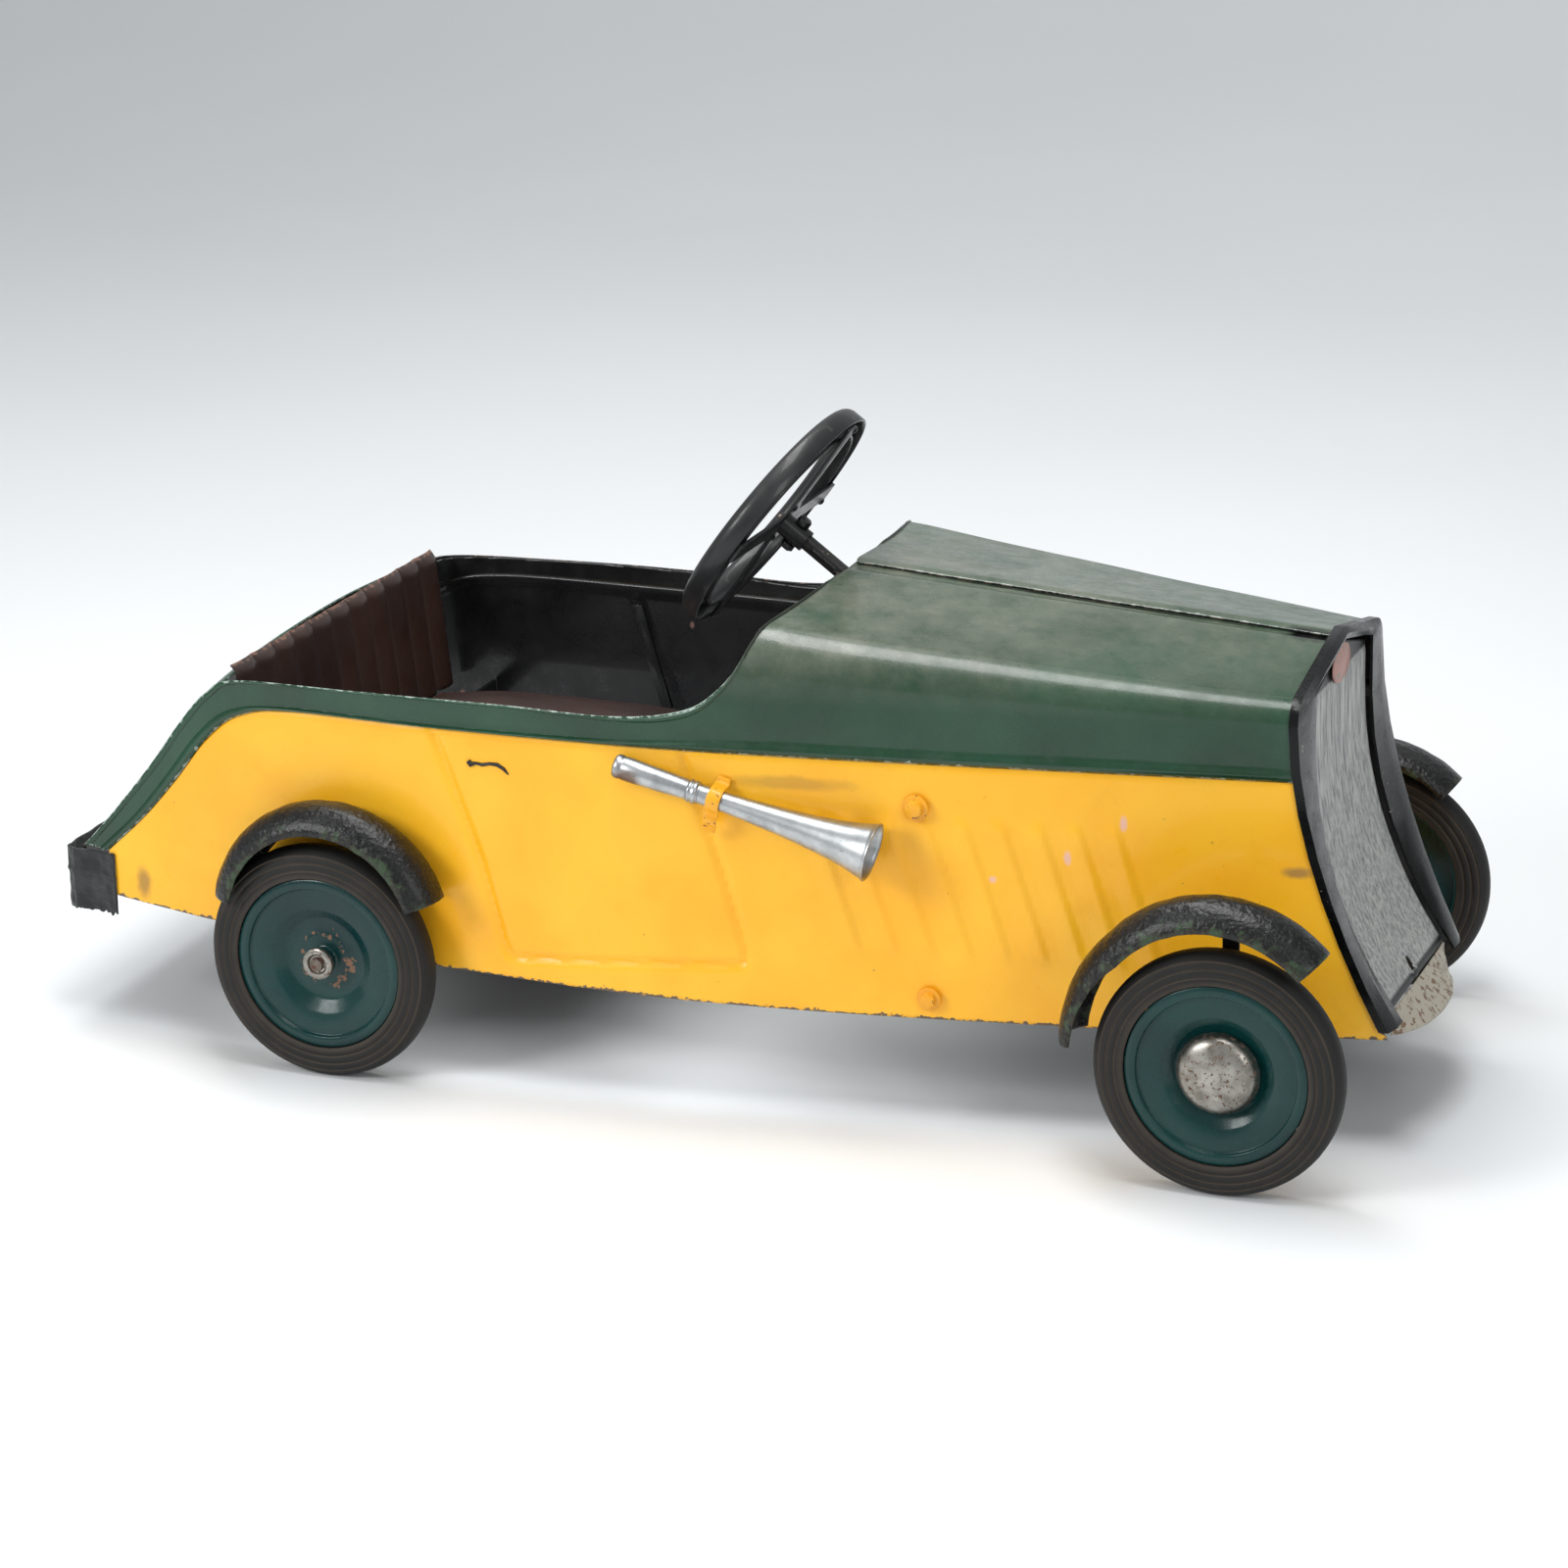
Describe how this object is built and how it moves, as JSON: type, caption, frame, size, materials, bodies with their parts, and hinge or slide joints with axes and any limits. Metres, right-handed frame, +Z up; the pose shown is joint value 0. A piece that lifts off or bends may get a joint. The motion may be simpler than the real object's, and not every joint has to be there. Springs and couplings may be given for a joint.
{
  "type": "pedal car",
  "caption": "Pressed-steel pedal car: open cockpit, long bonnet, hollow-faced radiator, disc wheels under curved mudguards, steering wheel on a raked column, push-rod pedals, a side horn.",
  "frame": {"origin": "middle of the floor under the whole car (centre of the bottom of its bounding box)", "axes": "+X forward, +Y to the left of the car, +Z up"},
  "size_m": [1.0426, 0.477, 0.4805],
  "materials": {
    "yellow_paint": "gloss, warm yellow, chipped at the edges",
    "green_paint": "gloss, dark green, dusty on top",
    "black_paint": "gloss black, brushed on and chipped",
    "mudguard_paint": "wrinkled black, worn to brown",
    "brown_paint": "satin dark brown",
    "steering_black": "satin black",
    "silver_paint": "brushed-on silver",
    "worn_badge": "worn matt red",
    "rusty_primer": "flaking off-white over rust",
    "cloth_tape": "matt black cloth tape on sheet steel",
    "wheel_paint": "gloss dark teal",
    "tyre_rubber": "dull black, dusty",
    "pad_rubber": "dull black",
    "worn_chrome": "dull, rust freckled",
    "bare_steel": "rusty",
    "aluminium": "scratched, dull"
  },
  "bodies": {
    "body": {"side_panel_right": "yellow_paint", "side_panel_left": "yellow_paint", "upper_panel_right": "green_paint", "upper_panel_left": "green_paint", "door_strap_right": "black_paint", "door_strap_left": "black_paint", "rear_deck": "green_paint", "rear_bumper": "cloth_tape", "radiator_surround": "black_paint", "grille": "silver_paint", "chin_apron": "rusty_primer", "badge": "worn_badge", "seat_back": "brown_paint", "seat": "brown_paint", "seat_rail_rear": "black_paint", "seat_rail_front": "black_paint", "front_mudguard_right": "mudguard_paint", "front_mudguard_left": "mudguard_paint", "rear_mudguard_right": "mudguard_paint", "rear_mudguard_left": "mudguard_paint", "front_axle_beam": "black_paint", "kingpin_right": "bare_steel", "kingpin_left": "bare_steel", "column_bracket": "black_paint", "axle_hanger_right": "black_paint", "axle_hanger_left": "black_paint", "pedal_strap_right": "black_paint", "pedal_strap_left": "black_paint", "skirt_bolt_right": "yellow_paint", "skirt_bolt_left": "yellow_paint", "pedal_cross_rod": "yellow_paint", "horn_barrel": "aluminium", "horn_bell": "aluminium", "horn_clip": "yellow_paint"},
    "steering": {"steering_column": "steering_black", "steering_rim": "steering_black", "steering_spokes": "steering_black", "clamp_bolt": "steering_black"},
    "knuckle_right": {"knuckle_right": "bare_steel"},
    "knuckle_left": {"knuckle_left": "bare_steel"},
    "tie_rod": {"tie_rod": "bare_steel"},
    "front_wheel_right": {"front_tyre_right": "tyre_rubber", "front_disc_right": "wheel_paint", "hubcap_right": "worn_chrome"},
    "front_wheel_left": {"front_tyre_left": "tyre_rubber", "front_disc_left": "wheel_paint", "hubcap_left": "worn_chrome"},
    "rear_axle": {"rear_axle": "bare_steel", "rear_tyre_right": "tyre_rubber", "rear_disc_right": "wheel_paint", "axle_cap_right": "bare_steel", "axle_cap_left": "bare_steel"},
    "rear_wheel_left": {"rear_tyre_left": "tyre_rubber", "rear_disc_left": "wheel_paint"},
    "push_rod_right": {"push_rod_right": "bare_steel"},
    "push_rod_left": {"push_rod_left": "bare_steel"},
    "pedal_right": {"pedal_arm_right": "bare_steel"},
    "pedal_left": {"pedal_arm_left": "bare_steel"},
    "pad_right": {"pedal_pad_right": "pad_rubber"},
    "pad_left": {"pedal_pad_left": "pad_rubber"}
  },
  "joints": [
    {"name": "steering_turn", "type": "hinge", "parent": "body", "child": "steering", "pos_m": [0.00025, 0, 0.401], "axis": [-0.8039, 0, 0.5948], "range_deg": [-14, 14]},
    {"name": "knuckle_right_turn", "type": "hinge", "parent": "body", "child": "knuckle_right", "pos_m": [0.41125, -0.17, 0.09], "axis": [0, 0, 1], "range_deg": [-14, 14]},
    {"name": "knuckle_left_turn", "type": "hinge", "parent": "body", "child": "knuckle_left", "pos_m": [0.41125, 0.17, 0.09], "axis": [0, 0, 1], "range_deg": [-14, 14]},
    {"name": "tie_rod_swing", "type": "hinge", "parent": "knuckle_right", "child": "tie_rod", "pos_m": [0.37125, -0.17, 0.07], "axis": [0, 0, 1], "range_deg": [-14, 14]},
    {"name": "front_wheel_right_spin", "type": "hinge", "parent": "knuckle_right", "child": "front_wheel_right", "pos_m": [0.41125, -0.215, 0.09], "axis": [0, 1, 0], "continuous": true},
    {"name": "front_wheel_left_spin", "type": "hinge", "parent": "knuckle_left", "child": "front_wheel_left", "pos_m": [0.41125, 0.215, 0.09], "axis": [0, 1, 0], "continuous": true},
    {"name": "rear_axle_spin", "type": "hinge", "parent": "body", "child": "rear_axle", "pos_m": [-0.27775, 0, 0.09], "axis": [0, 1, 0], "continuous": true},
    {"name": "rear_wheel_left_spin", "type": "hinge", "parent": "rear_axle", "child": "rear_wheel_left", "pos_m": [-0.27775, 0.215, 0.09], "axis": [0, 1, 0], "continuous": true},
    {"name": "push_rod_right_swing", "type": "hinge", "parent": "rear_axle", "child": "push_rod_right", "pos_m": [-0.27775, -0.079, 0.122], "axis": [0, 1, 0], "continuous": true},
    {"name": "push_rod_left_swing", "type": "hinge", "parent": "rear_axle", "child": "push_rod_left", "pos_m": [-0.27775, 0.079, 0.058], "axis": [0, 1, 0], "continuous": true},
    {"name": "pedal_right_swing", "type": "hinge", "parent": "body", "child": "pedal_right", "pos_m": [0.17025, -0.086, 0.239], "axis": [0, 1, 0], "range_deg": [-16, 16]},
    {"name": "pedal_left_swing", "type": "hinge", "parent": "body", "child": "pedal_left", "pos_m": [0.17025, 0.086, 0.239], "axis": [0, 1, 0], "range_deg": [-16, 16]},
    {"name": "pad_right_spin", "type": "hinge", "parent": "pedal_right", "child": "pad_right", "pos_m": [0.17025, -0.113, 0.101], "axis": [0, 1, 0], "continuous": true},
    {"name": "pad_left_spin", "type": "hinge", "parent": "pedal_left", "child": "pad_left", "pos_m": [0.17025, 0.113, 0.101], "axis": [0, 1, 0], "continuous": true}
  ],
  "couplings": [
    {"joint": "knuckle_right_turn", "follows": "steering_turn", "ratio": 1},
    {"joint": "knuckle_left_turn", "follows": "steering_turn", "ratio": 1},
    {"joint": "tie_rod_swing", "follows": "steering_turn", "ratio": -1},
    {"joint": "push_rod_right_swing", "follows": "rear_axle_spin", "ratio": -1},
    {"joint": "push_rod_left_swing", "follows": "rear_axle_spin", "ratio": -1},
    {"joint": "pedal_left_swing", "follows": "pedal_right_swing", "ratio": -1}
  ]
}
